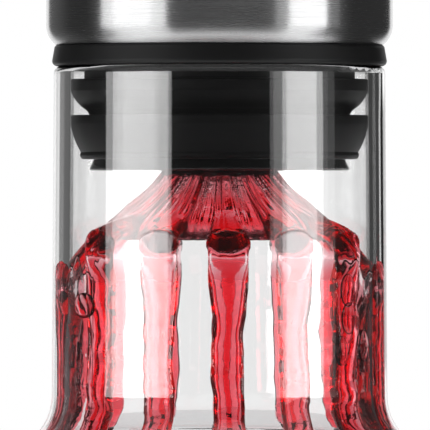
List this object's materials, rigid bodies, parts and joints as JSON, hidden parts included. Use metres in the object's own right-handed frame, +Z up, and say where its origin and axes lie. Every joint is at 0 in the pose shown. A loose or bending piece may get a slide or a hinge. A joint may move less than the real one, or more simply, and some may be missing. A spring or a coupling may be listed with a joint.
{
  "type": "aerating wine carafe",
  "caption": "Glass wine carafe with a lift-out pour-through stopper: a bottle stands neck down in the steel socket and a nozzle spreads the wine over the neck wall.",
  "frame": {"origin": "centre of the carafe's foot, on the surface it stands on", "axes": "+Z up along the carafe's axis; the object is round, so X and Y are any two level directions"},
  "size_m": [0.145, 0.145, 0.215],
  "materials": {
    "clear_glass": "clear blown soda-lime glass, fire-polished rim",
    "polished_steel": "bright satin, drawn stainless steel",
    "sheet_steel": "plain stainless steel",
    "black_moulding": "fine matt moulding",
    "dark_gloss_moulding": "polished moulding",
    "black_silicone": "satin moulded silicone",
    "black_rubber": "satin moulded rubber"
  },
  "bodies": {
    "carafe": {"glass_carafe": "clear_glass"},
    "aerator": {"steel_collar": "polished_steel", "collar_top_ring": "polished_steel", "collar_o_ring": "black_silicone", "socket_housing": "black_moulding", "flange_gasket": "black_rubber", "upper_lip_seal": "black_silicone", "lower_lip_seal": "black_silicone", "strainer_rim": "black_moulding", "strainer_screen": "sheet_steel", "strainer_clip": "sheet_steel"},
    "nozzle": {"nozzle_cap": "dark_gloss_moulding", "nozzle_plate": "dark_gloss_moulding", "spreader_cone": "dark_gloss_moulding", "air_tube": "sheet_steel", "air_tube_grommet": "black_silicone", "nozzle_o_ring": "black_silicone"},
    "bottle_bush": {"seal_cup": "black_moulding", "bottle_seal": "black_silicone", "cup_o_ring": "black_silicone"}
  },
  "joints": [
    {"name": "aerator_lift", "type": "slide", "parent": "carafe", "child": "aerator", "axis": [0, 0, 1], "range_m": [0, 0.06]},
    {"name": "nozzle_twist", "type": "hinge", "parent": "aerator", "child": "nozzle", "pos_m": [0, 0, 0.16], "axis": [0, 0, 1], "range_deg": [0, 40]},
    {"name": "bush_lift", "type": "slide", "parent": "aerator", "child": "bottle_bush", "axis": [0, 0, 1], "range_m": [0, 0.035]}
  ]
}
